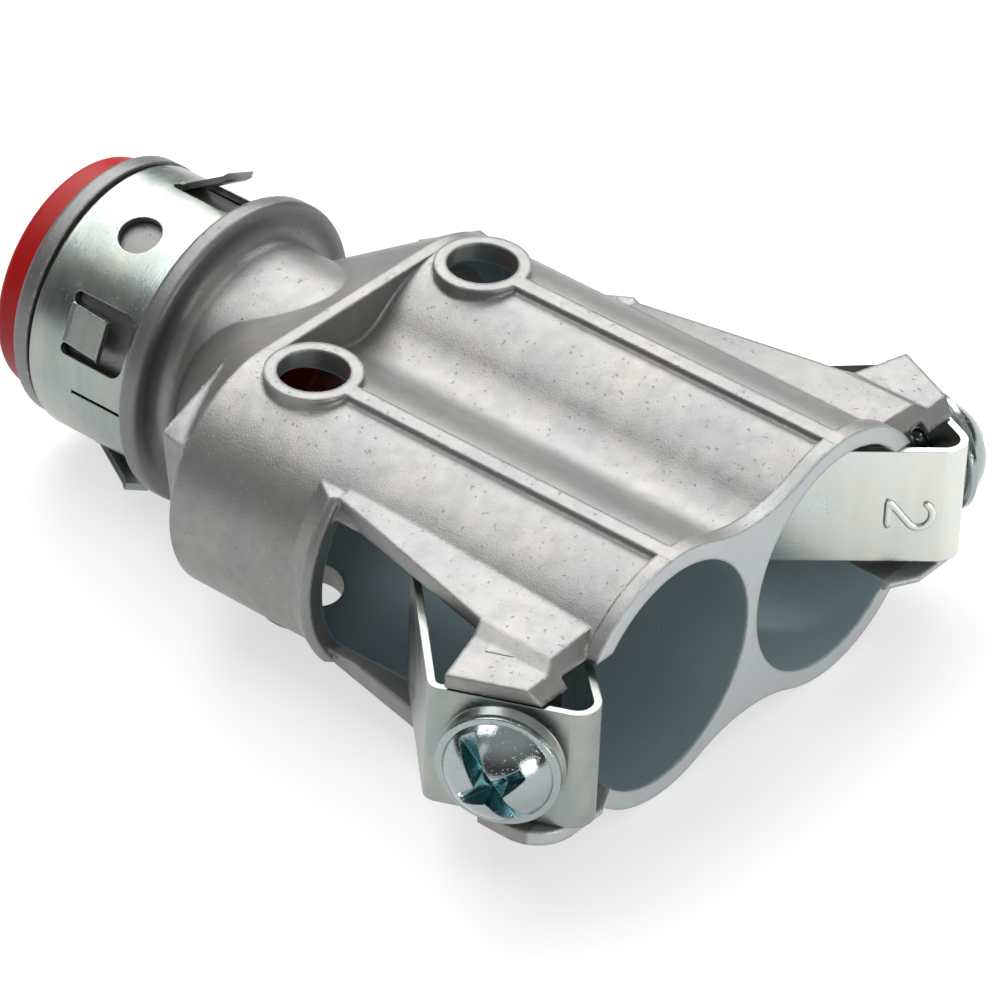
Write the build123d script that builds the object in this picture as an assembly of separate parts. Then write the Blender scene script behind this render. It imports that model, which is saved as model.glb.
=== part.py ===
from build123d import *
from math import cos, radians, sin, sqrt
import os

"""Duplex cable connector: a die-cast twin-barrel fitting for two armoured cables.

The frame: the origin is on the hub's axis, in the seating plane of the big flange.
+Y points out through the knockout of the box, X runs across the two barrels, +Z is up.
All sizes are in millimetres.
"""

# Barrels for the two cables
lobe_pitch = 19.5          # between the two bore axes
bore_radius = 9.2
lobe_wall = 0.9
barrel_front = 51.3        # front face, ahead of the seating plane
barrel_rear = 11.9         # rear face of the bulkhead, ahead of the seating plane
valley_round = 4.5         # concave round between the two barrels
rim_height = 0.55          # rim, ribs and bosses stand this much above the barrel
rim_width = 1.3
rim_valley_round = 14.0
rib_width = 1.4
bore_depth = 38.9          # from the front face to the cable stop

# Inspection holes in the top and the bottom
boss_radius = 3.75
boss_back = 34.3           # boss centre, behind the front face
sight_radius = 2.75

# Bulkhead, funnel and neck
bulkhead_thickness = 1.0
funnel_front_gap = 8.9     # length of the side flares behind the bulkhead
flare_pitch = 5.2
flare_radius = 6.6
neck_radius = 9.5
pad_half_width = 18.4
pad_bottom = -0.9
pad_front_top = (5.6, 17.0, 7.0)    # a pad's top corner up, then its crown across and up
pad_rear_top = (6.2, 11.3, 8.6)     # the same at its rear end
pad_length = 1.15
pad_lean = 0.15            # how fast its rear face leans back with height
stop_pitch = 18.0
stop_radius = 8.0
throat_pitch = 0.4         # where the funnel's inside meets the throat
throat_step = 0.2
funnel_length = 5.8
wall_overlap = 0.05        # how far the funnel's inside runs into the bores

# Hub that goes through the knockout
throat_radius = 8.5
flange_radius = 12.6
flange_thickness = 1.73
flange_dish = 0.5
flange_round = 0.45
flange_rim = 0.8           # flat band round the flange's dish
neck_round_share = 13 / 23  # share of the dish's width that the neck's round takes
seat_radius = 10.1
hub_length = 12.55
hub_lip_radius = 10.9
hub_lip_width = 1.65
hub_lip_round = 0.4

# Ears above and below each side opening
window_length = 25.2       # from the front face to the side opening's rear edge
window_round = 0.4
window_half_height = 5.95
bead_radius = 10.95        # raised edge round the side opening's rear end
bead_face_radius = 10.6
bead_face = 0.6            # from that end's face to the bead's highest line
bead_length = 2.4
bead_half_height = 7.5
ear_rear_line = ((14.0, 8.15), (20.0, 7.0))    # an ear's surface at its rear end: across, up
ear_front_line = ((15.8, 7.1), (31.5, 6.68))   # and at the front
ear_under_gap = 0.2        # between a strap's edge and the ear
ear_rear_half_width = 17.3
ear_waist_across = 21.2    # where the lip starts
ear_waist_back = 8.6       # behind the front face
ear_set_back = 0.3         # the upper ear's front face, behind the barrels'
ear_front_lean = 1.7       # how far that face leans back over the ear's thickness
crease_high = (21.4, 7.0)  # top of the step down to the lip: across, up
crease_low = (22.4, 6.4)   # foot of that step
lower_across = 25.8        # outer edge of the lower ear's lip
lower_turn_back = 4.4      # where that edge turns forward, behind the front face
lower_overhang = 1.6       # how far the lower ear reaches past the front face, under the loop
lower_round = 3.3
lower_inner = 19.0         # where that front edge turns back to the barrel

# Straps
strap_angle = 24.0         # outer leg, turned out towards the rear
inner_leg_angle = 48.0     # from across
rear_leg_angle = 45.0
strap_thickness = 0.6
strap_height = 10.1
strap_past_lip = 1.8       # from the lower lip out to the corner between outer and rear legs
strap_corner_back = 7.75   # that corner, behind the front face
outer_leg_length = 12.55   # from that corner to the corner of the front bend
front_bend = 1.5           # radius of the strip's middle
rear_bend = 0.9
rear_leg_length = 14.2
inner_leg_length = 17.6
tab_bend = 2.5
tab_length = 4.2
dimple_foot_radius = 4.75
dimple_radius = 4.0
dimple_height = 1.0
strap_hole_radius = 2.2

# Screws
screw_back = 5.55          # screw axis, from the strap's rear corner along its outer leg
shank_radius = 2.0
shank_length = 7.6
thread_clearance = 0.08
thread_reach = 11.7        # how far the threaded hole runs inwards from the strap's face
head_radius = 4.65
head_rim = 0.6
head_height = 3.3
dome_radius = 4.15
slot_width = 1.2
slot_depth = 1.5
cross_length = 5.2
cross_width = 1.4
cross_depth = 2.6
cross_tip = (1.3, 0.65)    # floor of the cross recess
recess_turn = 125.0        # slot, from the outer leg's forward direction

# Post that the screw threads into
strap_travel = 2.5
post_gap = 0.4             # left between the strap and the post when the strap is home
post_depth = 3.6
post_half_width = 2.6

# Liner in the throat
liner_clearance = 0.05
liner_wall = 0.75
liner_inside = 3.5         # reach ahead of the seating plane
liner_lip_radius = 9.8
liner_lip = 2.6
liner_lip_gap = 0.05
liner_lip_round = 0.6

# Snap ring
ring_clearance = 0.35
ring_drop = 0.25           # the loose ring hangs low on its seat
ring_thickness = 0.55
ring_front = 0.45
ring_lip_gap = 0.45        # between the ring and the hub's lip
ring_split_angle = 292.0
ring_split = 1.6
hole_angle = 112.3
ring_hole_radius = 1.75
ring_hole_back = 5.3
tang_width = 3.2
tang_slot = 1.0
tang_base_back = 4.0       # fixed end of the tangs, ahead of the hub's lip
ring_window_front = 1.25
ring_window_round = 1.2
side_tang_length = 3.9
side_tang_rise = 1.05
end_tang_length = 3.6
end_tang_past_flange = 0.7  # how far the end tangs stand out past the flange's edge
tang_lip = 0.4             # bent-up tip of a tang
lance_angle = 186.0
lance_slit = 0.35
lance_front = 1.2
lance_rear = 6.2

# Places worked out from the sizes above
half_pitch = lobe_pitch / 2
lobe_radius = bore_radius + lobe_wall
rim_radius = lobe_radius + rim_height
front = -barrel_front
rear = -barrel_rear
window_rear = front + window_length
ear_front = front + ear_set_back
waist_y = front + ear_waist_back
lower_turn = front + lower_turn_back
lower_front = front - lower_overhang
past = 1.0                 # how far a cutter runs past what it cuts
ear_under = strap_height / 2 + ear_under_gap
ring_inner = seat_radius + ring_clearance
ring_outer = ring_inner + ring_thickness
ring_rear = hub_length - hub_lip_width - ring_lip_gap
tang_base = hub_length - hub_lip_width - tang_base_back
end_tang_rise = flange_radius + end_tang_past_flange - ring_outer
leg_forward = Vector(sin(radians(strap_angle)), -cos(radians(strap_angle)), 0)
screw_inward = Vector(cos(radians(strap_angle)), sin(radians(strap_angle)), 0)
inner_leg_inward = Vector(cos(radians(inner_leg_angle)), sin(radians(inner_leg_angle)), 0)
rear_leg_inward = Vector(cos(radians(rear_leg_angle)), sin(radians(rear_leg_angle)), 0)
strap_across = lower_across + strap_past_lip
corner_point = Vector(-strap_across, front + strap_corner_back, 0)
screw_point = corner_point + leg_forward * screw_back


def barrel(radius, y_start, y_end, x=0.0):
    """A cylinder along Y between two stations."""
    middle = (y_start + y_end) / 2
    return Pos(x, middle, 0) * Rot(90, 0, 0) * Cylinder(radius, abs(y_end - y_start))


def block(x_start, x_end, y_start, y_end, z_start, z_end):
    """A box between two corners."""
    size = Box(abs(x_end - x_start), abs(y_end - y_start), abs(z_end - z_start))
    return Pos((x_start + x_end) / 2, (y_start + y_end) / 2, (z_start + z_end) / 2) * size


def twin_barrel(radius, valley, y_start, y_end):
    """Two barrels side by side, with a concave round of radius valley between them."""
    reach = radius + valley
    valley_height = sqrt(reach ** 2 - half_pitch ** 2)
    touch_x = half_pitch * valley / reach
    touch_z = valley_height * radius / reach
    fill = block(-touch_x, touch_x, y_start, y_end, -touch_z, touch_z)
    for side in (-1, 1):
        groove = barrel(valley, y_start - past, y_end + past)
        fill -= Pos(0, 0, side * valley_height) * groove
    return fill + barrel(radius, y_start, y_end, -half_pitch) + barrel(radius, y_start, y_end, half_pitch)


def stadium(pitch, radius, y):
    """A flat slot-shaped face across Y, with its two centres pitch apart."""
    station = Plane(origin=(0, y, 0), x_dir=(1, 0, 0), z_dir=(0, 1, 0))
    return station * SlotCenterToCenter(pitch, 2 * radius)


def funnel(pitch_front, radius_front, y_front, pitch_back, radius_back, y_back):
    """A straight-sided flare between two slot-shaped sections."""
    sections = [stadium(pitch_front, radius_front, y_front), stadium(pitch_back, radius_back, y_back)]
    return loft([section.faces()[0] for section in sections], ruled=True)


def flat_face(points):
    """A flat face through points, closed."""
    return make_face(Polyline(*points, close=True)).faces()[0]


def hub_outline():
    """The neck, the dished flange, the seat and the end lip, turned about Y."""
    neck_corner = (neck_radius, -(flange_thickness - flange_dish))
    neck_round = (flange_radius - flange_rim - neck_radius) * neck_round_share
    flange_corners = ((flange_radius, -flange_thickness), (flange_radius, 0))
    points = [
        (0, rear - bulkhead_thickness / 2),
        (neck_radius, rear - bulkhead_thickness / 2),
        neck_corner,
        (flange_radius - flange_rim, -flange_thickness),
        *flange_corners,
        (seat_radius, 0),
        (seat_radius, hub_length - hub_lip_width),
        (hub_lip_radius, hub_length - hub_lip_width),
        (hub_lip_radius, hub_length - hub_lip_round),
        (hub_lip_radius - hub_lip_round, hub_length),
        (0, hub_length),
    ]
    profile = make_face(Polyline(*[(r, y, 0) for r, y in points], close=True))
    for corner, size in ((neck_corner, neck_round), *((c, flange_round) for c in flange_corners)):
        profile = fillet(profile.vertices().sort_by_distance((*corner, 0))[0], size)
    return revolve(profile, Axis.Y)


def ear(top):
    """One ear beside the left barrel, above (top = 1) or below (top = -1) the opening."""
    sections = []
    for y, line in ((window_rear, ear_rear_line), (lower_front, ear_front_line)):
        (root, root_z), (tip, tip_z) = line
        corners = [
            (-root, y, top * root_z),
            (-tip, y, top * tip_z),
            (-tip, y, top * ear_under),
            (-root, y, top * ear_under),
        ]
        sections.append(flat_face(corners))
    solid = loft(sections, ruled=True)
    for reach, start in ((crease_high[0], lower_front - past), (ear_front_line[1][0], waist_y)):
        solid -= block(-reach, -half_pitch, start, window_rear + past, 0, top * window_half_height)
    return solid


def tall_plan(outline):
    """An outline seen from above, as a solid through the part's whole height."""
    plan = flat_face([(x, y, -rim_radius) for x, y in outline])
    return extrude(plan, 2 * rim_radius, dir=(0, 0, 1))


def upper_ear():
    """The upper left ear: its lip's outer edge is flush with the strap, its front face leans back."""
    edge_start = corner_point + leg_forward * past
    edge_end = edge_start + leg_forward * ((ear_front - edge_start.Y) / leg_forward.Y)
    plan = tall_plan([
        (-half_pitch, window_rear),
        (-ear_rear_half_width, window_rear),
        (-ear_waist_across, waist_y),
        (edge_start.X, edge_start.Y),
        (edge_end.X, edge_end.Y),
        (-half_pitch, ear_front),
    ])
    face_top = ear_front + ear_front_lean
    lean = flat_face([
        (0, ear_front, ear_under),
        (0, face_top, ear_front_line[0][1]),
        (0, face_top, rim_radius),
        (0, ear_front - past, rim_radius),
    ])
    return (ear(1) & plan) - extrude(lean, strap_across + past, dir=(-1, 0, 0))


def lower_ear():
    """The lower left ear: it reaches forward under the strap's loop with a round corner."""
    round_x = -lower_across + lower_round
    round_y = lower_front + lower_round
    plan = tall_plan([
        (-half_pitch, window_rear),
        (-ear_rear_half_width, window_rear),
        (-ear_waist_across, waist_y),
        (-lower_across, lower_turn),
        (-lower_across, round_y),
        (round_x, lower_front),
        (-lower_inner, lower_front),
        (-ear_front_line[0][0], front),
        (-half_pitch, front),
    ])
    plan += Pos(round_x, round_y, 0) * Cylinder(lower_round, 2 * rim_radius)
    thin_front = block(-ear_front_line[1][0], 0, lower_front - past, front, -rim_radius, -crease_low[1])
    return (ear(-1) & plan) - thin_front


def lip_cut(top):
    """What is taken off an ear's surface to leave the lower lip, with the sloping step."""
    far = strap_across + 2 * past
    slope = (crease_high[1] - crease_low[1]) / (crease_low[0] - crease_high[0])
    step = flat_face([
        (-crease_low[0], waist_y + past, top * crease_low[1]),
        (-far, waist_y + past, top * crease_low[1]),
        (-far, waist_y + past, top * rim_radius),
        (-crease_low[0] + (rim_radius - crease_low[1]) / slope, waist_y + past, top * rim_radius),
    ])
    return extrude(step, waist_y - lower_front + 2 * past, dir=(0, -1, 0))


def side_opening():
    """The opening through the left barrel's side, from its rear edge to the front face."""
    inner = -half_pitch - bore_radius / 2
    cutter = block(inner - lobe_radius, inner, front - past, window_rear, -window_half_height, window_half_height)
    rear_edges = cutter.edges().filter_by(Axis.X).sort_by(Axis.Y)[-2:]
    return fillet(rear_edges, window_round)


def opening_bead():
    """The raised edge round the rear end of the left side opening."""
    points = [
        (bore_radius, window_rear),
        (bead_face_radius, window_rear),
        (bead_radius, window_rear + bead_face),
        (lobe_radius, window_rear + bead_length),
        (bore_radius, window_rear + bead_length),
    ]
    ring = revolve(make_face(Polyline(*[(-r, y, 0) for r, y in points], close=True)), Axis.Y)
    return Pos(-half_pitch, 0, 0) * ring & block(-rim_radius - half_pitch - past, -ear_rear_half_width + past,
                                                 window_rear, rear, -bead_half_height, bead_half_height)


def post():
    """The post between the left ears that takes the screw's thread."""
    start = strap_thickness + strap_travel + post_gap
    lower = screw_point + screw_inward * start - leg_forward * post_half_width
    corners = [
        lower,
        lower + leg_forward * (2 * post_half_width),
        lower + leg_forward * (2 * post_half_width) + screw_inward * post_depth,
        lower + screw_inward * post_depth,
    ]
    reach = window_half_height + past / 2
    return extrude(flat_face([(c.X, c.Y, -reach) for c in corners]), 2 * reach, dir=(0, 0, 1))


def screw_axis_rod(radius, start, end):
    """A rod on the left screw's axis, between two distances inwards from the strap's face."""
    base = Plane(origin=screw_point + screw_inward * start, z_dir=screw_inward)
    return extrude(base * Circle(radius), end - start)


def both_sides(left_solid):
    """A left solid and its mirror image on the right."""
    return [left_solid, mirror(left_solid, Plane.YZ)]


def side_pad():
    """The flat-sided wedge beside the funnel, behind the bulkhead's left end."""
    sections = []
    for y, lean, (top, crown, crown_top) in ((rear, 0, pad_front_top), (rear + pad_length, pad_lean, pad_rear_top)):
        corners = [(-pad_half_width, pad_bottom), (-pad_half_width, top), (-crown, crown_top), (-half_pitch, 0)]
        sections.append(flat_face([(x, y + lean * z, z) for x, z in corners]))
    return loft(sections, ruled=True)


def make_body():
    """The one-piece casting."""
    solid = twin_barrel(lobe_radius, valley_round, front, rear)
    solid += twin_barrel(rim_radius, rim_valley_round, front, front + rim_width)
    solid += extrude(stadium(lobe_pitch, lobe_radius, rear - bulkhead_thickness), bulkhead_thickness, dir=(0, 1, 0))
    solid += funnel(lobe_pitch, lobe_radius, rear, flare_pitch, flare_radius, rear + funnel_front_gap)
    solid += hub_outline()
    boss_y = front + boss_back
    for x in (-half_pitch, half_pitch):
        solid += Pos(x, boss_y, 0) * Cylinder(boss_radius, 2 * rim_radius)
        solid += block(x - rib_width / 2, x + rib_width / 2, front, boss_y, -rim_radius, rim_radius)
    for opening in both_sides(side_opening()):
        solid -= opening
    for left_solid in (side_pad(), opening_bead(), upper_ear() - lip_cut(1), lower_ear() - lip_cut(-1), post()):
        for piece in both_sides(left_solid):
            solid += piece
    for x in (-half_pitch, half_pitch):
        solid -= barrel(bore_radius, lower_front - past, front + bore_depth, x)
        solid -= Pos(x, boss_y, 0) * Cylinder(sight_radius, 2 * rim_radius + past)
    funnel_end = front + bore_depth + funnel_length
    solid -= funnel(stop_pitch, stop_radius, front + bore_depth - wall_overlap,
                    throat_pitch, throat_radius - throat_step, funnel_end)
    solid -= barrel(throat_radius, funnel_end - past, hub_length + past)
    thread_hole = screw_axis_rod(shank_radius + thread_clearance, strap_thickness, thread_reach)
    for hole in both_sides(thread_hole):
        solid -= hole
    return solid


def strap_path():
    """The middle line of the left strap, seen from above."""
    middle = corner_point + screw_inward * (strap_thickness / 2)
    bend_corner = middle + leg_forward * outer_leg_length
    inner_end = bend_corner + inner_leg_inward * inner_leg_length
    rear_end = middle + rear_leg_inward * rear_leg_length
    tab_end = inner_end + Vector(0, tab_length, 0)
    points = [rear_end, middle, bend_corner, inner_end, tab_end]
    return FilletPolyline(*[(p.X, p.Y, 0) for p in points], radius=[rear_bend, front_bend, tab_bend])


def dimple():
    """The raised seat for the screw's head on the left strap's outer leg."""
    foot = Plane(origin=screw_point + screw_inward * (strap_thickness / 2), z_dir=screw_inward)
    top = Plane(origin=screw_point - screw_inward * dimple_height, z_dir=screw_inward)
    return loft([(foot * Circle(dimple_foot_radius)).faces()[0], (top * Circle(dimple_radius)).faces()[0]])


def make_strap():
    """The left strap: one strip, bent at the front into a loop, with a dimple and a hole."""
    path = strap_path()
    start = Plane(origin=path @ 0, x_dir=(0, 0, 1), z_dir=path % 0)
    strip = sweep(start * Rectangle(strap_height, strap_thickness), path=path)
    strip += dimple()
    return strip - screw_axis_rod(strap_hole_radius, -past, strap_thickness + past)


def make_screw():
    """The left screw: a domed head with a slot and a cross recess, on a plain shank."""
    rise = head_height - head_rim
    ball = (dome_radius ** 2 + rise ** 2) / (2 * rise)
    seat = -dimple_height
    rod = screw_axis_rod(shank_radius, seat, seat + shank_length)
    head = screw_axis_rod(head_radius, seat - head_rim, seat)
    dome_base = seat - head_rim
    dome = Pos(*(screw_point + screw_inward * (dome_base - rise + ball))) * Sphere(ball)
    head += dome & screw_axis_rod(dome_radius, dome_base - rise - past, dome_base)
    top = Plane(origin=screw_point + screw_inward * (dome_base - rise), x_dir=leg_forward, z_dir=-screw_inward)
    turned = top * Rot(0, 0, recess_turn)
    head -= turned * Box(2 * head_radius + past, slot_width, 2 * slot_depth)
    for quarter in (0, 90):
        base = turned * Rot(0, 0, quarter) * Rectangle(cross_length, cross_width)
        floor = turned * Pos(0, 0, -cross_depth) * Rot(0, 0, quarter) * Rectangle(*cross_tip)
        head -= loft([base.faces()[0], floor.faces()[0]], ruled=True)
    return head + rod


def make_liner():
    """The plastic throat liner: a tube with a rounded outer lip."""
    outer = throat_radius - liner_clearance
    lip_start = hub_length + liner_lip_gap
    lip_end = lip_start + liner_lip
    tube = barrel(outer, -liner_inside, lip_end - past)
    lip = barrel(liner_lip_radius, lip_start, lip_end)
    lip = fillet(lip.edges().sort_by(Axis.Y)[-1], liner_lip_round)
    return tube + lip - barrel(outer - liner_wall, -liner_inside - past, lip_end + past)


def around(angle, solid):
    """Turns a solid drawn over +X to an angle about Y, measured from +X towards +Z."""
    return solid.rotate(Axis.Y, -angle)


def tang(length, rise):
    """A tang drawn over +X: fixed at its rear end, its front end stands out and turns up."""
    tip = tang_base - length
    line = [(0, tang_base + tang_lip), (0, tang_base), (rise - tang_lip, tip + tang_lip), (rise, tip)]
    outer = [(ring_outer + out, y, 0) for out, y in line]
    inner = [(ring_inner + out, y, 0) for out, y in reversed(line)]
    return extrude(flat_face(outer + inner), tang_width / 2, both=True)


def ring_window():
    """The hole round a tang, drawn over +X: round front corners and a round-ended slot each side."""
    half = tang_width / 2 + tang_slot
    middle = (ring_window_front + tang_base) / 2
    around_x = Plane(origin=(ring_inner - past, 0, 0), x_dir=(0, 1, 0), z_dir=(1, 0, 0))
    opening = Pos(middle, 0) * Rectangle(tang_base - ring_window_front, 2 * half)
    opening = fillet(opening.vertices().sort_by(Axis.X)[:2], ring_window_round)
    for side in (-1, 1):
        opening += Pos(tang_base, side * (half - tang_slot / 2)) * Circle(tang_slot / 2)
    return extrude(around_x * opening, ring_thickness + 2 * past)


def make_ring():
    """The snap ring: a split spring strip with a hole, four tangs and a lanced spring."""
    band = barrel(ring_outer, ring_front, ring_rear)
    band -= barrel(ring_inner, ring_front - past, ring_rear + past)
    tang_places = (
        (hole_angle + 45, side_tang_length, side_tang_rise),
        (hole_angle - 45, end_tang_length, end_tang_rise),
        (hole_angle + 128, end_tang_length, end_tang_rise),
        (hole_angle + 225, side_tang_length, side_tang_rise),
    )
    for angle, length, rise in tang_places:
        band -= around(angle, ring_window())
    band -= around(hole_angle, Pos(ring_outer, ring_hole_back, 0) * Rot(0, 90, 0) * Cylinder(ring_hole_radius, 4 * past))
    split = block(ring_inner - past, ring_outer + past, ring_front - past, ring_rear + past,
                  -ring_split / 2, ring_split / 2)
    band -= around(ring_split_angle, split)
    for angle, length, rise in tang_places:
        band += around(angle, tang(length, rise))
    slit = block(ring_inner - past, ring_outer + past, lance_front, lance_rear, 0, lance_slit)
    band -= around(lance_angle, slit)
    return Pos(0, 0, -ring_drop) * band


left_nodes = {"left_strap": make_strap(), "left_screw": make_screw()}
nodes = {"body": make_body(), "throat_liner": make_liner(), "snap_ring": make_ring()}
for name, solid in left_nodes.items():
    nodes[name] = solid
    nodes[name.replace("left", "right")] = mirror(solid, Plane.YZ)

os.makedirs("parts", exist_ok=True)
for name, solid in nodes.items():
    solid.label = name
    export_step(solid, f"parts/{name}.step")
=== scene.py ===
import logging
import math
from dataclasses import dataclass, field
from enum import Enum
from typing import Any

import bpy
import numpy as np
from mathutils import Matrix


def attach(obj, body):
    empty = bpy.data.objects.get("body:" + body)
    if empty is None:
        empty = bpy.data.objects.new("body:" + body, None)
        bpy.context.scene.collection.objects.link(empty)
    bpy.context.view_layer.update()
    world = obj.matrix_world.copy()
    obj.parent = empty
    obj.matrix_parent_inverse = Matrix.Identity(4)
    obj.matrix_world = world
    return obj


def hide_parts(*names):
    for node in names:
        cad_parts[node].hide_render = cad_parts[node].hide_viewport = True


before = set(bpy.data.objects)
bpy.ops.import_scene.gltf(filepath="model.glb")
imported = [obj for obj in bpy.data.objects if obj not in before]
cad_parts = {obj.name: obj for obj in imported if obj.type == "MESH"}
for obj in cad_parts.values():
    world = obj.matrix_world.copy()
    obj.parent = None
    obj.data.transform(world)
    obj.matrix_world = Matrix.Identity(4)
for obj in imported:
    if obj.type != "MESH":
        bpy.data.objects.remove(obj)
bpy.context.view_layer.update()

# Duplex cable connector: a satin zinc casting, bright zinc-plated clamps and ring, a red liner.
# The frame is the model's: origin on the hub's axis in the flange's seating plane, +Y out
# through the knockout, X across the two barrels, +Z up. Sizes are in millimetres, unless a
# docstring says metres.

logging.basicConfig(level=logging.INFO, format="%(message)s")
LOG = logging.getLogger("connector")
MM = 0.001
WHITE = (1.0, 1.0, 1.0, 1.0)


class Side(Enum):
    """The two clamps, by the sign of X."""

    LEFT = -1
    RIGHT = 1

    @property
    def word(self) -> str:
        """The side's name, as the nodes have it."""
        return self.name.lower()


class Grain(Enum):
    """Which way a strip's fine rolling lines run, as the stretch of their noise on each axis."""

    LEVEL = (0.25, 0.25, 9.0)
    AROUND = (0.25, 9.0, 0.25)


@dataclass(frozen=True)
class Waves:
    """A noise: waves to a millimetre, how much detail, and the stretch on each axis, if any."""

    scale: float
    detail: float
    stretch: tuple | None = None


class Num:
    """One number socket, on which shader maths is written as plain expressions."""

    def __init__(self, graph: "Graph", socket: Any) -> None:
        """Wraps a socket.

        Args:
            graph: the material graph that the socket belongs to.
            socket: an output socket.
        """
        self.graph = graph
        self.socket = socket

    def _math(self, operation: str, first: Any, second: Any = None) -> "Num":
        """Adds one Math node.

        Args:
            operation: the Math node's operation.
            first: a number or a Num.
            second: a number, a Num or nothing.

        Returns:
            The node's result.
        """
        values = {0: first} if second is None else {0: first, 1: second}
        node = self.graph.add("ShaderNodeMath", {"operation": operation}, values)
        return Num(self.graph, node.outputs[0])

    def __add__(self, other: Any) -> "Num":
        """self + other."""
        return self._math("ADD", self, other)

    __radd__ = __add__

    def __sub__(self, other: Any) -> "Num":
        """self - other."""
        return self._math("SUBTRACT", self, other)

    def __rsub__(self, other: Any) -> "Num":
        """other - self."""
        return self._math("SUBTRACT", other, self)

    def __mul__(self, other: Any) -> "Num":
        """self * other."""
        return self._math("MULTIPLY", self, other)

    def __truediv__(self, other: Any) -> "Num":
        """self / other."""
        return self._math("DIVIDE", self, other)

    def __abs__(self) -> "Num":
        """The size of self without its sign."""
        return self._math("ABSOLUTE", self)

    def root(self) -> "Num":
        """The square root of self."""
        return self._math("SQRT", self)

    def clip(self) -> "Num":
        """self held between 0 and 1."""
        return self._math("MINIMUM", self._math("MAXIMUM", self, 0.0), 1.0)

    def above(self, limit: float, blur: float) -> "Num":
        """A mask that rises from 0 to 1 over blur, centred on limit."""
        return ((self - limit) / blur + 0.5).clip()

    def swing(self, reach: float) -> "Num":
        """A noise from 0 to 1, turned into one from -reach / 2 to reach / 2."""
        return (self - 0.5) * reach


class Graph:
    """A material's node tree, with one method that adds any node."""

    bevel_samples: int = 6
    edge_steepness: float = 7.0

    def __init__(self, tree: bpy.types.NodeTree) -> None:
        """Starts from an empty tree.

        Args:
            tree: the node tree to fill.
        """
        self.tree = tree
        tree.nodes.clear()

    def add(self, kind: str, settings: dict[str, Any], sockets: dict[Any, Any]) -> bpy.types.Node:
        """Adds a node.

        Args:
            kind: the node's type.
            settings: its properties, set first.
            sockets: values or links for its input sockets, by name or number.

        Returns:
            The node.
        """
        node = self.tree.nodes.new(kind)
        for name, value in settings.items():
            setattr(node, name, value)
        for key, value in sockets.items():
            source = value.socket if isinstance(value, Num) else value
            if isinstance(source, bpy.types.NodeSocket):
                self.tree.links.new(source, node.inputs[key])
            else:
                node.inputs[key].default_value = source
        return node

    def place(self) -> tuple[Any, Num, Num, Num]:
        """The point on the object, in millimetres: the vector, then X, Y and Z."""
        coordinate = self.add("ShaderNodeTexCoord", {}, {})
        scaled = self.add("ShaderNodeVectorMath", {"operation": "SCALE"},
                          {0: coordinate.outputs["Object"], "Scale": 1.0 / MM})
        parts = self.add("ShaderNodeSeparateXYZ", {}, {0: scaled.outputs[0]})
        x, y, z = (Num(self, socket) for socket in parts.outputs)
        return scaled.outputs[0], x, y, z

    def noise(self, point: Any, waves: Waves) -> Num:
        """Smooth noise from 0 to 1.

        Args:
            point: the point's vector, in millimetres.
            waves: the noise's scale, detail and stretch.

        Returns:
            The noise.
        """
        if waves.stretch:
            stretched = self.add("ShaderNodeVectorMath", {"operation": "MULTIPLY"},
                                 {0: point, 1: waves.stretch})
            point = stretched.outputs[0]
        node = self.add("ShaderNodeTexNoise", {}, {
            "Vector": point, "Scale": waves.scale, "Detail": waves.detail})
        return Num(self, node.outputs[0])

    def mix(self, share: Any, first: Any, second: Any) -> Any:
        """Mixes two colours: the Mix node's inputs 6 and 7, with the result at output 2.

        Args:
            share: how much of the second shows.
            first: a colour or a link.
            second: a colour or a link.

        Returns:
            The mixed colour's socket.
        """
        node = self.add("ShaderNodeMix", {"data_type": "RGBA"}, {0: share, 6: first, 7: second})
        return node.outputs[2]

    def rounded(self, radius: float) -> tuple[Any, Num]:
        """Softened edges.

        Args:
            radius: the edge's round, in millimetres.

        Returns:
            The rounded normal's socket, and a mask of the edges: one less the cosine of the
            angle between the rounded normal and the true one, made steep.
        """
        bevel = self.add("ShaderNodeBevel", {"samples": self.bevel_samples}, {"Radius": radius * MM})
        true = self.add("ShaderNodeNewGeometry", {}, {})
        dot = self.add("ShaderNodeVectorMath", {"operation": "DOT_PRODUCT"},
                       {0: bevel.outputs[0], 1: true.outputs["Normal"]})
        edge = ((1.0 - Num(self, dot.outputs["Value"])) * self.edge_steepness).clip()
        return bevel.outputs[0], edge

    def bumped(self, normal: Any, height: Num, depth: float) -> Any:
        """A bumped normal.

        Args:
            normal: the normal to start from.
            height: the heights.
            depth: millimetres between a height of 0 and of 1.

        Returns:
            The normal's socket.
        """
        node = self.add("ShaderNodeBump", {}, {
            "Strength": 1.0, "Distance": depth * MM, "Height": height, "Normal": normal})
        return node.outputs[0]

    def surface(self, sockets: dict[str, Any]) -> None:
        """Ends a material's graph.

        Args:
            sockets: values or links for the Principled shader.
        """
        shader = self.add("ShaderNodeBsdfPrincipled", {}, sockets)
        self.add("ShaderNodeOutputMaterial", {}, {"Surface": shader.outputs[0]})


def colour(red: float, green: float, blue: float) -> tuple[float, float, float, float]:
    """A colour as a picture shows it (0 to 255), turned to linear light."""
    linear = []
    for level in (red / 255, green / 255, blue / 255):
        linear.append(level / 12.92 if level <= 0.04045 else ((level + 0.055) / 1.055) ** 2.4)
    return (*linear, 1.0)


def material(name: str) -> tuple[bpy.types.Material, Graph]:
    """A new material and its empty graph."""
    made = bpy.data.materials.new(name)
    made.use_nodes = True
    return made, Graph(made.node_tree)


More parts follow.
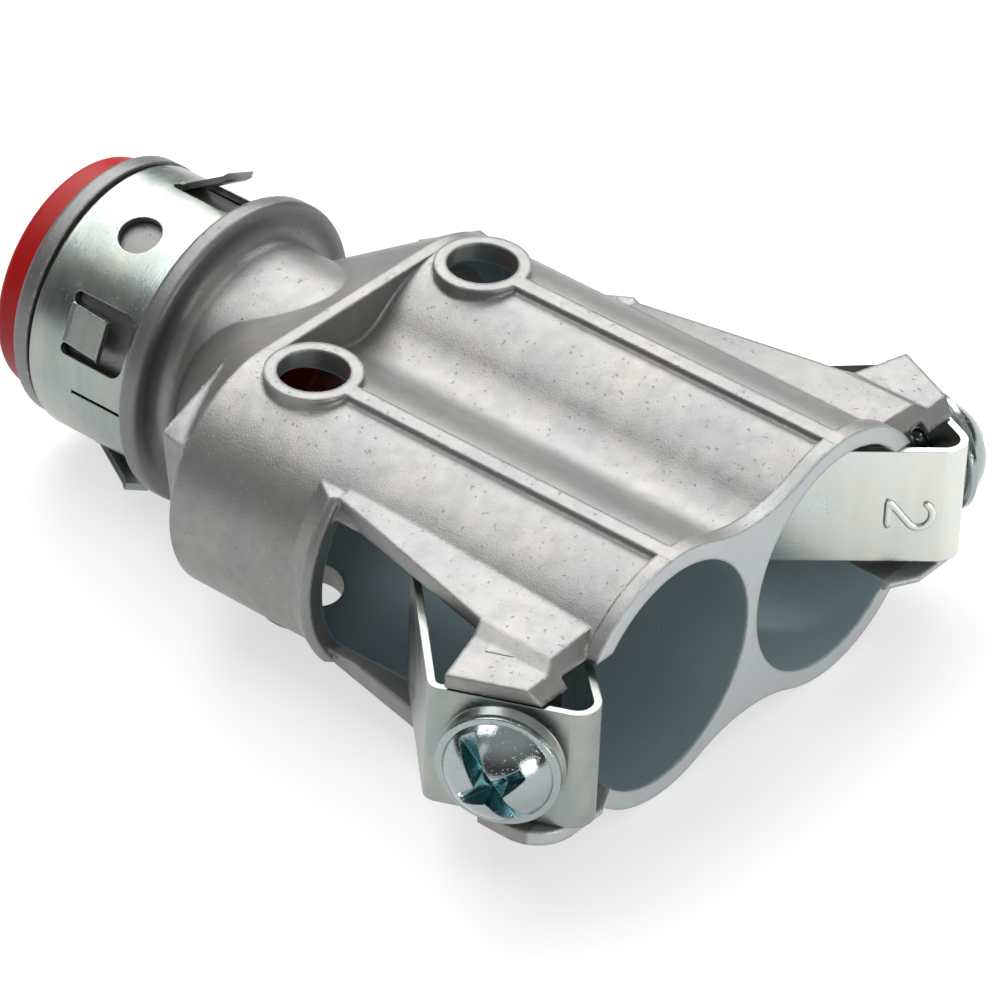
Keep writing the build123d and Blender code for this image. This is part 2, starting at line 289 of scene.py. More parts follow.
@dataclass(frozen=True)
class CastZinc:
    """Satin die-cast zinc: fine grain, faint flow marks, paler worn edges, bluer bores, and a hub end painted
    darker as shade.

    A name ending in _mask is a noise's limit and blur; in _rough, _high or _deep, how much a
    noise adds to the roughness, or adds to or takes from the bump's height.
    """

    cool: tuple = colour(141, 142, 142)
    warm: tuple = colour(152, 150, 146)
    bore: tuple = colour(158, 180, 184)
    worn: tuple = colour(184, 184, 181)
    # a darker tone, used for random blotches and for the painted shade on the hub end
    dull_tone_and_shade: tuple = colour(122, 123, 122)
    cut: tuple = colour(192, 198, 199)
    cloud: Waves = Waves(0.16, 3.0)
    blotch: Waves = Waves(0.75, 4.0)
    grain: Waves = Waves(6.5, 4.0)
    pit: Waves = Waves(2.6, 3.0)
    nick: Waves = Waves(1.9, 4.0)
    ripple: Waves = Waves(1.3, 3.0, (1.0, 0.16, 1.0))
    lines: Waves = Waves(1.0, 2.0, (2.6, 0.03, 2.6))
    cloud_mask: tuple = (0.5, 0.3)
    blotch_mask: tuple = (0.56, 0.3)
    pit_mask: tuple = (0.7, 0.05)
    nick_mask: tuple = (0.58, 0.08)
    blotch_share: float = 0.35
    cut_even: float = 0.6
    worn_even: float = 0.35
    worn_share: float = 0.8
    roughness: float = 0.4
    blotch_rough: float = 0.09
    grain_rough: float = 0.12
    bore_rough: float = 0.04
    grain_high: float = 0.6
    ripple_high: float = 0.16
    bore_ripple_high: float = 0.1
    lines_high: float = 0.5
    nick_deep: float = 1.1
    pit_deep: float = 0.8
    bump: float = 0.04
    metallic: float = 0.72
    bore_less_metallic: float = 0.4
    edge_round: float = 0.45
    barrel_across: float = 9.75
    bore_radius: float = 9.2
    bore_margin: float = 0.12
    bore_blur: float = 0.1
    bulkhead: float = -12.4
    flange_front: float = -1.8
    front_face: float = -51.15
    face_blur: float = 0.2

    def build(self) -> bpy.types.Material:
        """Makes the casting's material.

        Returns:
            The material.
        """
        made, graph = material("cast_zinc")
        point, x, y, z = graph.place()
        normal, edge = graph.rounded(self.edge_round)
        cloud = graph.noise(point, self.cloud)
        blotch = graph.noise(point, self.blotch)
        grain = graph.noise(point, self.grain)
        pit = graph.noise(point, self.pit).above(*self.pit_mask)
        nick = graph.noise(point, self.nick).above(*self.nick_mask)
        ripple = graph.noise(point, self.ripple)
        lines = graph.noise(point, self.lines)
        across = abs(x) - self.barrel_across
        from_axis = (across * across + z * z).root()
        inside = ((1.0 - from_axis.above(self.bore_radius + self.bore_margin, self.bore_blur))
                  * (1.0 - y.above(self.bulkhead, self.bore_blur)))
        hub = y.above(self.flange_front, self.face_blur)
        face = 1.0 - y.above(self.front_face, self.face_blur)
        skin = graph.mix(cloud.above(*self.cloud_mask), self.cool, self.warm)
        skin = graph.mix(blotch.above(*self.blotch_mask) * self.blotch_share, skin, self.dull_tone_and_shade)
        # painted shade: the hub end, behind the flange's front face, is darkened to stand in for shade and
        # dark reflections
        skin = graph.mix(hub, skin, self.dull_tone_and_shade)
        skin = graph.mix(inside, skin, self.bore)
        skin = graph.mix(face * (self.cut_even + grain * (1.0 - self.cut_even)), skin, self.cut)
        worn = (edge * (self.worn_even + nick * (1.0 - self.worn_even))).clip()
        skin = graph.mix(worn * self.worn_share, skin, self.worn)
        rough = (self.roughness + blotch.swing(self.blotch_rough) + grain.swing(self.grain_rough)
                 + inside * self.bore_rough)
        height = (grain * self.grain_high + ripple * (self.ripple_high + inside * self.bore_ripple_high)
                  + lines * inside * self.lines_high - nick * edge * self.nick_deep - pit * self.pit_deep)
        metal = self.metallic - inside * self.bore_less_metallic
        graph.surface({"Base Color": skin, "Roughness": rough.clip(), "Metallic": metal.clip(),
                       "Normal": graph.bumped(normal, height, self.bump)})
        return made


@dataclass(frozen=True)
class PlatedStrip:
    """Bright zinc-plated strip: cool grey, with rolling lines, specks, soft warmer clouds, and long bands of
    painted shade along its waves.
    """

    name: str
    grain: Grain
    bright: tuple = colour(146, 155, 153)
    tinted: tuple = colour(162, 165, 157)
    worn: tuple = colour(168, 173, 171)
    # colour of the painted shade bands
    painted_shade: tuple = colour(112, 122, 120)
    rolled_scale: float = 1.0
    rolled_detail: float = 3.0
    cloud: Waves = Waves(0.33, 3.0)
    speck: Waves = Waves(3.4, 2.0)
    fine: Waves = Waves(7.5, 3.0)
    wave: Waves = Waves(1.0, 2.0, (0.55, 0.55, 0.08))
    cloud_mask: tuple = (0.5, 0.35)
    speck_mask: tuple = (0.69, 0.05)
    painted_shade_mask: tuple = (0.52, 0.3)
    painted_shade_share: float = 0.3
    worn_share: float = 0.75
    roughness: float = 0.3
    cloud_rough: float = 0.22
    rolled_rough: float = 0.12
    speck_rough: float = 0.1
    rolled_high: float = 0.5
    fine_high: float = 0.5
    wave_high: float = 3.0
    speck_deep: float = 0.6
    bump: float = 0.012
    edge_round: float = 0.14

    def build(self) -> bpy.types.Material:
        """Makes the strip's material.

        Returns:
            The material.
        """
        made, graph = material(self.name)
        point, _, _, _ = graph.place()
        normal, edge = graph.rounded(self.edge_round)
        rolled = graph.noise(point, Waves(self.rolled_scale, self.rolled_detail, self.grain.value))
        cloud = graph.noise(point, self.cloud)
        speck = graph.noise(point, self.speck).above(*self.speck_mask)
        fine = graph.noise(point, self.fine)
        wave = graph.noise(point, self.wave)
        skin = graph.mix(cloud.above(*self.cloud_mask), self.bright, self.tinted)
        # painted shade: darker bands along the long waves stand in for the changing reflections on the bent
        # strip
        skin = graph.mix(wave.above(*self.painted_shade_mask) * self.painted_shade_share, skin, self.painted_shade)
        skin = graph.mix(edge * self.worn_share, skin, self.worn)
        rough = (self.roughness + cloud.swing(self.cloud_rough) + rolled.swing(self.rolled_rough)
                 + speck * self.speck_rough)
        height = (rolled * self.rolled_high + fine * self.fine_high - speck * self.speck_deep
                  + wave * self.wave_high)
        graph.surface({"Base Color": skin, "Roughness": rough.clip(), "Metallic": 1.0,
                       "Normal": graph.bumped(normal, height, self.bump)})
        return made


@dataclass(frozen=True)
class PlatedScrew:
    """Bright blue-passivated screw steel, with a painted teal reflection and shade in the recess, fuller
    where it is deeper.
    """

    bright: tuple = colour(156, 165, 165)
    recess_reflection: tuple = colour(104, 146, 151)
    cloud: Waves = Waves(0.8, 3.0)
    fine: Waves = Waves(9.0, 3.0)
    speck: Waves = Waves(4.2, 2.0)
    speck_mask: tuple = (0.66, 0.06)
    reflection_gain: float = 1.3
    reflection_even: float = 0.55
    reflection_cloud: float = 0.7
    roughness: float = 0.12
    cloud_rough: float = 0.12
    speck_rough: float = 0.14
    recess_rough: float = 0.08
    fine_high: float = 0.4
    cloud_high: float = 0.4
    speck_deep: float = 0.5
    bump: float = 0.02
    edge_round: float = 0.1

    def build(self) -> bpy.types.Material:
        """Makes the screws' material.

        Returns:
            The material.
        """
        made, graph = material("screw_plate")
        point, _, _, _ = graph.place()
        depth = graph.add("ShaderNodeAttribute", {"attribute_name": "recess"}, {})
        deep = Num(graph, depth.outputs["Fac"])
        cloud = graph.noise(point, self.cloud)
        fine = graph.noise(point, self.fine)
        speck = graph.noise(point, self.speck).above(*self.speck_mask)
        # painted reflection: a teal reflection and shade painted into the recess, fuller where the recess is
        # deeper
        painted_reflection = (deep * self.reflection_gain * (self.reflection_even + cloud * self.reflection_cloud)).clip()
        skin = graph.mix(painted_reflection, self.bright, self.recess_reflection)
        rough = (self.roughness + cloud.swing(self.cloud_rough) + speck * self.speck_rough
                 + deep * self.recess_rough)
        height = fine * self.fine_high + cloud * self.cloud_high - speck * self.speck_deep
        normal, _ = graph.rounded(self.edge_round)
        graph.surface({"Base Color": skin, "Roughness": rough.clip(), "Metallic": 1.0,
                       "Normal": graph.bumped(normal, height, self.bump)})
        return made


@dataclass(frozen=True)
class MouldedPlastic:
    """The liner's red moulded plastic: even, slightly waxy, painted darker inside as shadow, with fine mould
    lines.
    """

    red: tuple = colour(182, 22, 24)
    deep: tuple = colour(158, 14, 16)
    painted_shadow: tuple = colour(66, 24, 26)
    cloud: Waves = Waves(0.3, 2.0)
    fine: Waves = Waves(6.0, 3.0)
    turned: Waves = Waves(1.0, 2.0, (0.15, 5.0, 0.15))
    cloud_mask: tuple = (0.5, 0.5)
    painted_shadow_mask: tuple = (4.0, 6.0)
    cloud_share: float = 0.6
    edge_share: float = 0.2
    painted_shadow_share: float = 0.8
    roughness: float = 0.4
    fine_rough: float = 0.15
    specular: float = 0.2
    fine_high: float = 0.4
    turned_high: float = 0.5
    bump: float = 0.02
    edge_round: float = 0.3

    def build(self) -> bpy.types.Material:
        """Makes the liner's material.

        Returns:
            The material.
        """
        made, graph = material("moulded_red")
        point, _, y, _ = graph.place()
        normal, edge = graph.rounded(self.edge_round)
        cloud = graph.noise(point, self.cloud).above(*self.cloud_mask)
        fine = graph.noise(point, self.fine)
        turned = graph.noise(point, self.turned)
        skin = graph.mix((cloud * self.cloud_share + edge * self.edge_share).clip(), self.red, self.deep)
        # painted shadow: the red darkens towards the throat's inner end, where the hole lies in shadow
        skin = graph.mix((1.0 - y.above(*self.painted_shadow_mask)) * self.painted_shadow_share, skin, self.painted_shadow)
        rough = self.roughness + fine.swing(self.fine_rough)
        height = fine * self.fine_high + turned * self.turned_high
        graph.surface({"Base Color": skin, "Roughness": rough.clip(), "Specular IOR Level": self.specular,
                       "Normal": graph.bumped(normal, height, self.bump)})
        return made


def mesh_object(name: str, points: np.ndarray, faces: list, smooth: float = 40.0) -> bpy.types.Object:
    """Makes a mesh object from arrays.

    Args:
        name: the piece's name.
        points: an (n, 3) array, in metres, in the model's frame.
        faces: lists of point numbers, counted so that the faces point outwards.
        smooth: edges sharper than this many degrees stay sharp.

    Returns:
        The object.
    """
    mesh = bpy.data.meshes.new(name)
    mesh.from_pydata(points.tolist(), [], faces)
    mesh.validate()
    mesh.shade_smooth()
    mesh.set_sharp_from_angle(angle=math.radians(smooth))
    made = bpy.data.objects.new(name, mesh)
    bpy.context.scene.collection.objects.link(made)
    return made


def turned_grid(rows: int, columns: int, start: int = 0) -> list:
    """The faces of a surface of revolution with a pole at each end.

    Args:
        rows: rings of points between the two poles.
        columns: points round each ring.
        start: number of the first pole's point; rings follow it, then the last pole.

    Returns:
        Faces as lists of point numbers: fans at the poles, and for ring i and column j the
        square (i+1, j), (i+1, j+1), (i, j+1), (i, j).
    """
    ring = start + 1 + np.arange(rows * columns).reshape(rows, columns)
    right = np.roll(ring, -1, axis=1)
    squares = np.stack([ring[:-1], right[:-1], right[1:], ring[1:]], -1).reshape(-1, 4)
    first = [[start, int(b), int(a)] for a, b in zip(ring[0], right[0])]
    last_pole = start + 1 + rows * columns
    last = [[last_pole, int(a), int(b)] for a, b in zip(ring[-1], right[-1])]
    return [face[::-1] for face in squares.tolist()] + first + last


def facing(place: np.ndarray, right: np.ndarray, up: np.ndarray, back: np.ndarray) -> Matrix:
    """A matrix from a place and three axes.

    Args:
        place: the position, in metres.
        right: where local X points.
        up: where local Y points.
        back: where local Z points.

    Returns:
        The matrix.
    """
    columns = np.eye(4)
    columns[:3, 0], columns[:3, 1], columns[:3, 2], columns[:3, 3] = right, up, back, place
    return Matrix(columns.tolist())


def dress(node: str, finish: bpy.types.Material) -> None:
    """Gives a CAD node its material.

    Args:
        node: the node's name.
        finish: the material.
    """
    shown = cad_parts[node]
    for slot in shown.material_slots:
        slot.material = finish
    if not shown.material_slots:
        shown.data.materials.append(finish)


@dataclass
class Casting:
    """The one-piece casting with its liner and snap ring."""

    body_finish: CastZinc = field(default_factory=CastZinc)
    liner_finish: MouldedPlastic = field(default_factory=MouldedPlastic)
    ring_finish: PlatedStrip = field(default_factory=lambda: PlatedStrip("ring_plate", Grain.AROUND))

    def build(self) -> None:
        """Dresses the casting's own CAD solids."""
        dress("body", self.body_finish.build())
        dress("throat_liner", self.liner_finish.build())
        dress("snap_ring", self.ring_finish.build())
        LOG.info("casting, liner and snap ring dressed")


@dataclass
class ClampScrew:
    """A pan-head screw: flat rim, dome, slot and cross recess, threaded shank."""

    side: Side
    screw_point: tuple = (25.3426, -48.6202)
    lean: float = 24.0
    seat: float = 1.0
    rim_radius: float = 4.62
    rim_height: float = 0.6
    rim_round: float = 0.1
    rim_rings: int = 5
    under_round: float = 0.08
    under_radius: float = 2.2
    dome_radius: float = 4.12
    dome_height: float = 2.68
    dome_start: float = 0.05
    dome_rings: int = 84
    slot_half: float = 0.66
    slot_floor: float = 0.45
    slot_turn: float = 125.0
    cross_half: float = 0.85
    cross_tip_share: float = 0.45
    cross_reach: float = 2.75
    cross_depth: float = 2.5
    cross_power: float = 0.7
    wall_ease: float = 0.1
    full_reflection_depth: float = 0.9
    shank_radius: float = 2.0
    root_radius: float = 1.62
    shank_length: float = 7.6
    tip_gap: float = 0.02
    pitch: float = 0.79375
    crest_gain: float = 1.25
    run_in: float = 0.9
    run_out: float = 1.1
    rings_to_turn: int = 12
    columns: int = 360
    shank_columns: int = 72
    smooth: float = 35.0

    def axes(self) -> tuple[np.ndarray, np.ndarray, np.ndarray, np.ndarray]:
        """The screw's frame: the point on its axis, then outwards, forwards and up."""
        sign = self.side.value
        angle = math.radians(self.lean)
        point = np.array([sign * self.screw_point[0], self.screw_point[1], 0.0])
        outward = np.array([sign * math.cos(angle), -math.sin(angle), 0.0])
        forward = np.array([-sign * math.sin(angle), -math.cos(angle), 0.0])
        return point, outward, forward, np.array([0.0, 0.0, 1.0])

    def place(self, across: np.ndarray, along: np.ndarray, out: np.ndarray) -> np.ndarray:
        """Points in the model's frame, in metres.

        Args:
            across: distances forwards from the axis.
            along: distances up from the axis.
            out: distances outwards from the strap's face.

        Returns:
            An (n, 3) array: point + across * forward + along * up + out * outward.
        """
        point, outward, forward, up = self.axes()
        parts = (point + across.reshape(-1, 1) * forward + along.reshape(-1, 1) * up
                 + out.reshape(-1, 1) * outward)
        return parts * MM

    def pole(self, out: float) -> np.ndarray:
        """The point on the axis at a distance outwards, in metres."""
        return self.place(np.zeros(1), np.zeros(1), np.array([out]))

    def wall(self, distance: np.ndarray, half: Any) -> np.ndarray:
        """1 within half of the middle and 0 outside, eased between over wall_ease."""
        share = np.clip((half + self.wall_ease / 2 - np.abs(distance)) / self.wall_ease, 0, 1)
        return share * share * (3 - 2 * share)

    def recess(self, across: np.ndarray, along: np.ndarray, height: np.ndarray) -> np.ndarray:
        """How deep the recess is under the dome's surface.

        The slot's floor is level, slot_floor above the rim, between walls slot_half each side.
        A cross arm's depth is cross_depth * s ** cross_power, where s falls in a straight line
        from 1 at the axis to 0 at cross_reach, and its half width narrows with s from
        cross_half to cross_tip_share of that. The deeper of slot and arms holds.

        Args:
            across: distances forwards from the axis.
            along: distances up from the axis.
            height: the dome's own height there.

        Returns:
            The depth at each point.
        """
        turn = math.radians(self.slot_turn)
        run = across * math.cos(turn) + along * math.sin(turn)
        off = -across * math.sin(turn) + along * math.cos(turn)
        under = np.clip(height - self.rim_height - self.slot_floor, 0, None)
        deepest = under * self.wall(off, self.slot_half)
        for length, width in ((run, off), (off, run)):
            slope = np.clip(1 - np.abs(length) / self.cross_reach, 0, 1)
            half = self.cross_half * (self.cross_tip_share + (1 - self.cross_tip_share) * slope)
            arm = self.cross_depth * slope ** self.cross_power * self.wall(width, half)
            deepest = np.maximum(deepest, arm)
        return deepest

    def head(self) -> tuple[np.ndarray, np.ndarray]:
        """The head's rings from the dome's top to the underside's middle.

        The dome's height is a sphere's: sqrt(R^2 - r^2) - (R - dome_height).

        Returns:
            The points, poles included, and how full the recess's painted teal reflection is at each, from 0
            to 1.
        """
        rise = self.dome_height
        ball = (self.dome_radius ** 2 + rise ** 2) / (2 * rise)
        radii = np.linspace(self.dome_start, self.dome_radius, self.dome_rings)
        height = np.sqrt(ball ** 2 - radii ** 2) - (ball - rise) + self.rim_height
        edge = np.linspace(0.0, math.pi / 2, self.rim_rings)
        rim_r = self.rim_radius - self.rim_round + self.rim_round * np.sin(edge)
        rim_h = self.rim_height - self.rim_round + self.rim_round * np.cos(edge)
        low_r = np.array([self.rim_radius, self.rim_radius - self.under_round, self.under_radius])
        low_h = np.array([self.under_round, 0.0, 0.0])
        all_r = np.concatenate([radii, rim_r, low_r])
        all_h = np.concatenate([height, rim_h, low_h])
        angle = np.linspace(0, 2 * math.pi, self.columns, endpoint=False)
        across = all_r[:, None] * np.cos(angle)[None, :]
        along = all_r[:, None] * np.sin(angle)[None, :]
        tall = np.repeat(all_h[:, None], self.columns, axis=1)
        deep = np.zeros_like(tall)
        dome = self.dome_rings
        deep[:dome] = self.recess(across[:dome], along[:dome], tall[:dome])
        out = tall - deep + self.seat
        centre = deep[0].max()
        middle = self.place(across.ravel(), along.ravel(), out.ravel())
        top = self.pole(rise + self.rim_height - centre + self.seat)
        depths = np.concatenate([[centre], deep.ravel(), [0.0]])
        # how full the painted recess reflection is, from the recess's depth
        recess_reflection = np.clip(depths / self.full_reflection_depth, 0, 1)
        return np.concatenate([top, middle, self.pole(self.seat)]), recess_reflection

    def shank(self) -> np.ndarray:
        """The threaded shank's rings, from the head to the tip.

        The thread's radius is root + (shank - root) * crest, where crest is
        crest_gain * (1 - |2 * phase - 1|), held at 1 so that the crests are flat, and phase is
        the fraction of a turn between the angle and the distance divided by the pitch. The
        crest grows from nothing over run_in and falls to nothing over run_out.

        Returns:
            The points, poles included.
        """
        rings = int(self.shank_length / self.pitch * self.rings_to_turn)
        distance = np.linspace(0.0, self.shank_length - self.tip_gap, rings)
        angle = np.linspace(0, 2 * math.pi, self.shank_columns, endpoint=False)
        hand = self.side.value
        phase = (distance[:, None] / self.pitch + hand * angle[None, :] / (2 * math.pi)) % 1.0
        crest = np.clip(self.crest_gain * (1 - np.abs(2 * phase - 1)), 0, 1)
        ends = (np.clip(distance / self.run_in, 0, 1)
                * np.clip((self.shank_length - distance) / self.run_out, 0, 1))
        radius = self.root_radius + (self.shank_radius - self.root_radius) * crest * ends[:, None]
        across = radius * np.cos(angle)[None, :]
        along = radius * np.sin(angle)[None, :]
        out = np.repeat(self.seat - distance[:, None], self.shank_columns, axis=1)
        rows = self.place(across.ravel(), along.ravel(), out.ravel())
        tip = self.pole(self.seat - self.shank_length + self.tip_gap)
        return np.concatenate([self.pole(self.seat), rows, tip])

    def build(self, finish: bpy.types.Material) -> None:
        """Builds the screw, which stands for its CAD node.

        Args:
            finish: the material.
        """
        head, recess_reflection = self.head()
        shank = self.shank()
        faces = turned_grid((len(head) - 2) // self.columns, self.columns)
        faces += turned_grid((len(shank) - 2) // self.shank_columns, self.shank_columns, len(head))
        if self.side is Side.RIGHT:
            faces = [face[::-1] for face in faces]
        made = mesh_object(f"{self.side.word}_screw_piece", np.concatenate([head, shank]), faces, self.smooth)
        mark = made.data.attributes.new("recess", "FLOAT", "POINT")
        mark.data.foreach_set("value", np.concatenate([recess_reflection, np.zeros(len(shank))]).astype(np.float32))
        made.data.materials.append(finish)
        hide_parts(f"{self.side.word}_screw")
        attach(made, f"{self.side.word}_clamp_screw")
        LOG.info("%s screw: %d faces", self.side.word, len(faces))


@dataclass
class ClampStrap:
    """A bent strap, with a plain number on the right one's inner leg."""

    side: Side
    bend_corner: tuple = (22.2214, -54.8930)
    leg_angle: float = 48.0
    half_thickness: float = 0.3
    number_centre: tuple = (4.64, -0.72)
    number_size: tuple = (2.5, 3.35)
    arc_angles: tuple = (165.0, -38.0)
    arc_radii: tuple = (0.46, 0.3)
    arc_up: float = 0.2
    arc_points: int = 40
    run_start: float = 0.05
    run_points: int = 16
    foot_start: float = 0.08
    foot_points: int = 14
    stroke_width: float = 0.66
    stroke_height: float = 0.2
    stroke_sunk: float = 0.03
    stroke_columns: int = 16
    end_rings: float = 3.0
    end_share: float = 0.3
    smooth: float = 60.0

    def stroke(self) -> np.ndarray:
        """The middle line of the number 2, in its own square: across and up, each within a half.

        An arc from the upper left over the top to the lower right, then a straight run to the
        lower left corner, then a straight foot. The three are joined in one array.

        Returns:
            An (n, 2) array of points in writing order.
        """
        turn = np.radians(np.linspace(*self.arc_angles, self.arc_points))
        wide, tall = self.arc_radii
        arc = np.column_stack([wide * np.cos(turn), self.arc_up + tall * np.sin(turn)])
        corner = np.array([-0.5, -0.5])
        run = arc[-1] + np.linspace(self.run_start, 1.0, self.run_points)[:, None] * (corner - arc[-1])
        foot = corner + np.linspace(self.foot_start, 1.0, self.foot_points)[:, None] * np.array([1.0, 0.0])
        return np.concatenate([arc, run, foot])

    def number(self, finish: bpy.types.Material) -> None:
        """The plain number on the inner leg, its top towards the loop.

        A half-round stroke carried along the number's middle line: at each point of the line the
        section is side * (w / 2) * cos(a) + out * h * sin(a), sunk a little into the strap where
        sin(a) is below nothing. It shrinks over the last rings at each end, as the square root
        of how many rings are left.

        Args:
            finish: the strap's material.
        """
        angle = math.radians(self.leg_angle)
        leg = np.array([-math.cos(angle), math.sin(angle), 0.0])
        out = np.array([-math.sin(angle), -math.cos(angle), 0.0])
        down = np.array([0.0, 0.0, -1.0])
        line = self.stroke() * self.number_size
        along = np.gradient(line, axis=0)
        along /= np.linalg.norm(along, axis=1)[:, None]
        beside = np.column_stack([along[:, 1], -along[:, 0]])
        from_start = np.arange(len(line))
        from_end = from_start[::-1]
        starting, ending = (np.clip(rings + self.end_share, 0, self.end_rings) / self.end_rings
                            for rings in (from_start, from_end))
        share = np.sqrt(starting * ending)[:, None]
        turn = np.linspace(0, 2 * math.pi, self.stroke_columns, endpoint=False)
        wide = np.cos(turn) * self.stroke_width / 2 * share
        flat = line[:, None, :] + beside[:, None, :] * wide[..., None]
        high = np.where(np.sin(turn) > 0, self.stroke_height, self.stroke_sunk) * np.sin(turn) * share
        base = np.array([*self.bend_corner, 0.0]) + leg * self.number_centre[0] - down * self.number_centre[1]
        rings = (base + flat[..., :1] * down - flat[..., 1:] * leg
                 + (self.half_thickness + high)[..., None] * out)
        first, last = rings[:1].mean(1), rings[-1:].mean(1)
        points = np.concatenate([first, rings.reshape(-1, 3), last]) * MM
        made = mesh_object("stamped_number", points, turned_grid(len(line), self.stroke_columns), self.smooth)
        made.data.materials.append(finish)
        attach(made, f"{self.side.word}_clamp")

    def build(self, finish: bpy.types.Material) -> None:
        """Dresses the strap, and puts the number on the right one.

        Args:
            finish: the material.
        """
        dress(f"{self.side.word}_strap", finish)
        if self.side is Side.RIGHT:
            self.number(finish)
        LOG.info("%s strap dressed", self.side.word)


@dataclass(frozen=True)
class Lamp:
    """A soft rectangular lamp that faces the object."""

    name: str
    place: tuple
    size: tuple
    watts: float
    aim: tuple = (0.0, -25.0, 0.0)

    def build(self) -> None:
        """Makes the lamp."""
        data = bpy.data.lights.new(self.name, "AREA")
        data.shape = "RECTANGLE"
        data.size, data.size_y = self.size[0] * MM, self.size[1] * MM
        data.energy = self.watts
        made = bpy.data.objects.new(self.name, data)
        bpy.context.scene.collection.objects.link(made)
        back = np.array(self.place) - np.array(self.aim)
        back /= np.linalg.norm(back)
        right = np.cross([0.0, 0.0, 1.0], back)
        right /= np.linalg.norm(right)
        made.matrix_world = facing(np.array(self.place) * MM, right, np.cross(back, right), back)


@dataclass
class Studio:
    """The pale floor, the soft lamps and the white surroundings."""

    floor_touch: tuple = ((-0.9, -12.62), (-52.9, -10.7))
    floor_reach: float = 1500.0
    floor_gap: float = 0.03
    floor_grey: tuple = (0.5, 0.5, 0.5, 1.0)
    floor_glow: float = 0.62
    level_low: float = 0.1
    level_more: float = 0.42
    level_mask: tuple = (0.55, 0.5)
    lamps: tuple = (
        Lamp("back_box", (290.0, 200.0, 330.0), (480.0, 300.0), 1.9),
        Lamp("overhead", (-60.0, 190.0, 420.0), (340.0, 260.0), 0.9),
        Lamp("front_fill", (-60.0, -450.0, 85.0), (200.0, 150.0), 0.6),
        Lamp("left_strip", (-420.0, 60.0, 160.0), (120.0, 420.0), 0.12),
        Lamp("right_strip", (330.0, -330.0, 150.0), (160.0, 300.0), 0.12),
    )

    def floor(self) -> None:
        """A flat floor that the flange and the front rims stand on."""
        (y_one, z_one), (y_two, z_two) = self.floor_touch
        slope = (z_one - z_two) / (y_one - y_two)
        reach = self.floor_reach
        corners = np.array([(-reach, -reach), (reach, -reach), (reach, reach), (-reach, reach)])
        heights = z_one + (corners[:, 1] - y_one) * slope - self.floor_gap
        points = np.column_stack([corners, heights]) * MM
        made = mesh_object("floor", points, [[0, 1, 2, 3]])
        finish, graph = material("floor_white")
        path = graph.add("ShaderNodeLightPath", {}, {})
        camera, glossy, through = (Num(graph, path.outputs[ray]) for ray in (
            "Is Camera Ray", "Is Glossy Ray", "Is Transmission Ray"))
        seen = (camera + glossy + through).clip()
        matt = graph.add("ShaderNodeBsdfDiffuse", {}, {"Color": self.floor_grey})
        glow = graph.add("ShaderNodeEmission", {}, {"Color": WHITE, "Strength": seen * self.floor_glow})
        both = graph.add("ShaderNodeAddShader", {}, {0: matt.outputs[0], 1: glow.outputs[0]})
        graph.add("ShaderNodeOutputMaterial", {}, {"Surface": both.outputs[0]})
        made.data.materials.append(finish)

    def surroundings(self) -> None:
        """White to the camera; to metal, bright above and dim near the horizon."""
        world = bpy.data.worlds.new("studio")
        bpy.context.scene.world = world
        world.use_nodes = True
        graph = Graph(world.node_tree)
        way = graph.add("ShaderNodeTexCoord", {}, {})
        parts = graph.add("ShaderNodeSeparateXYZ", {}, {0: way.outputs["Generated"]})
        height = Num(graph, parts.outputs[2])
        level = self.level_low + height.above(*self.level_mask) * self.level_more
        path = graph.add("ShaderNodeLightPath", {}, {})
        camera = Num(graph, path.outputs["Is Camera Ray"])
        back = graph.add("ShaderNodeBackground", {}, {
            "Color": WHITE, "Strength": level * (1.0 - camera) + camera})
        graph.add("ShaderNodeOutputWorld", {}, {"Surface": back.outputs[0]})

    def build(self) -> None:
        """Sets the floor, the surroundings and the lamps."""
        self.floor()
        self.surroundings()
        for lamp in self.lamps:
            lamp.build()
        LOG.info("studio set")


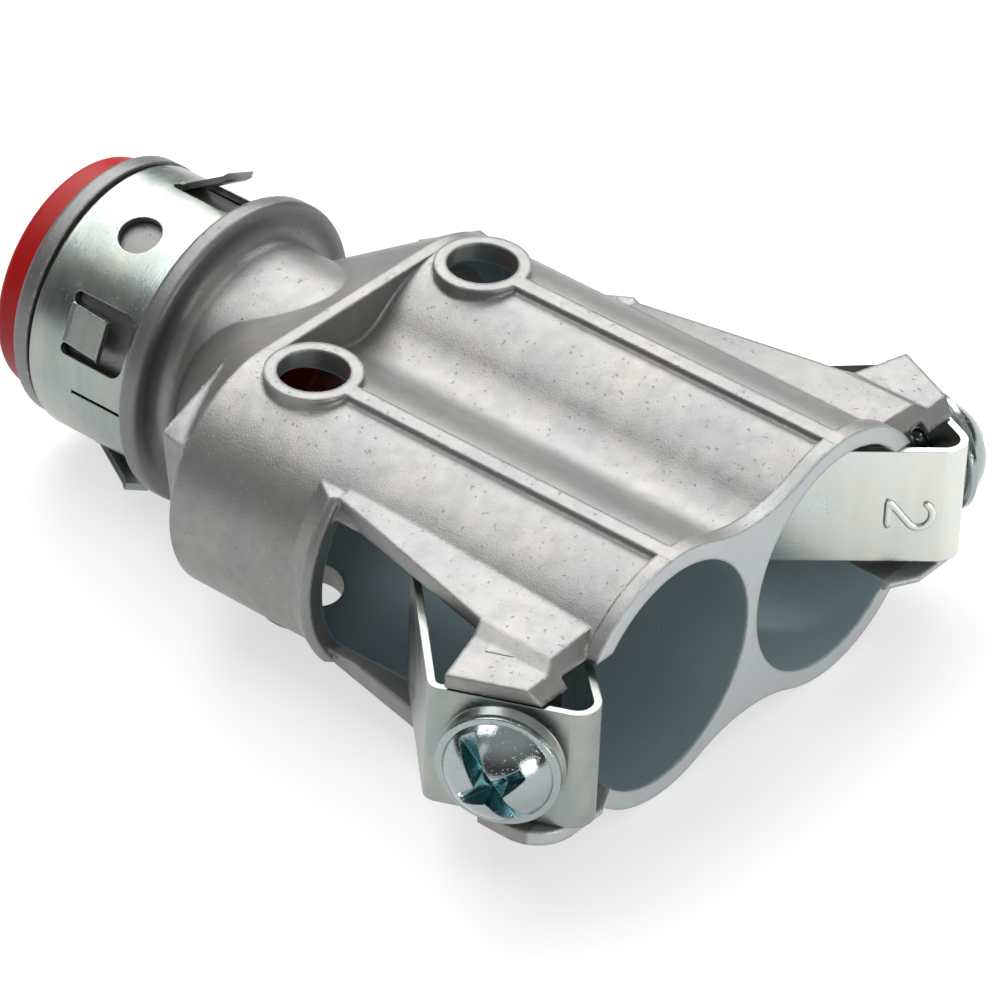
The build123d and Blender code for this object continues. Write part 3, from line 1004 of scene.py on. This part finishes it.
@dataclass
class PhotoCamera:
    """The camera, at the angle and distance from which the photograph was taken."""

    azimuth: float = -51.992
    elevation: float = 35.723
    roll: float = 2.749
    distance: float = 500.457
    focal_pixels: float = 6723.655
    target: tuple = (-2.423, -29.28, 1.001)
    picture: float = 1000.0
    sensor_width: float = 36.0
    nearest: float = 10.0
    farthest: float = 20000.0

    def build(self) -> None:
        """Makes the camera and sets it as the scene's."""
        azimuth, elevation, roll = (math.radians(a) for a in (self.azimuth, self.elevation, self.roll))
        back = np.array([math.sin(azimuth) * math.cos(elevation),
                         -math.cos(azimuth) * math.cos(elevation), math.sin(elevation)])
        level = np.array([math.cos(azimuth), math.sin(azimuth), 0.0])
        upright = np.cross(back, level)
        right = level * math.cos(roll) + upright * math.sin(roll)
        up = -level * math.sin(roll) + upright * math.cos(roll)
        data = bpy.data.cameras.new("photo_camera")
        data.sensor_fit = "HORIZONTAL"
        data.sensor_width = self.sensor_width
        data.lens = self.focal_pixels * self.sensor_width / self.picture
        data.clip_start = self.nearest * MM
        data.clip_end = self.farthest * MM
        made = bpy.data.objects.new("photo_camera", data)
        bpy.context.scene.collection.objects.link(made)
        place = (np.array(self.target) + back * self.distance) * MM
        made.matrix_world = facing(place, right, up, back)
        bpy.context.scene.camera = made
        LOG.info("camera set")


def main() -> None:
    """Builds the whole scene, piece by piece."""
    PhotoCamera().build()
    Studio().build()
    Casting().build()
    # Lit and shaded copies of one plate: the right strap's is painted much lighter than the left's, standing
    # in for the brighter light on that side; the right one's cream tint and the left one's green are the
    # plating's own.
    straps = {
        Side.LEFT: PlatedStrip("shaded_left_strap_plate", Grain.LEVEL),
        Side.RIGHT: PlatedStrip("lit_right_strap_plate", Grain.LEVEL, bright=colour(212, 219, 217),
                                tinted=colour(222, 221, 209), painted_shade=colour(196, 203, 201)),
    }
    screw = PlatedScrew().build()
    for side in Side:
        ClampStrap(side).build(straps[side].build())
        ClampScrew(side).build(screw)
    bpy.context.scene.view_settings.view_transform = "Standard"
    bpy.context.view_layer.update()


if __name__ == "__main__":
    main()
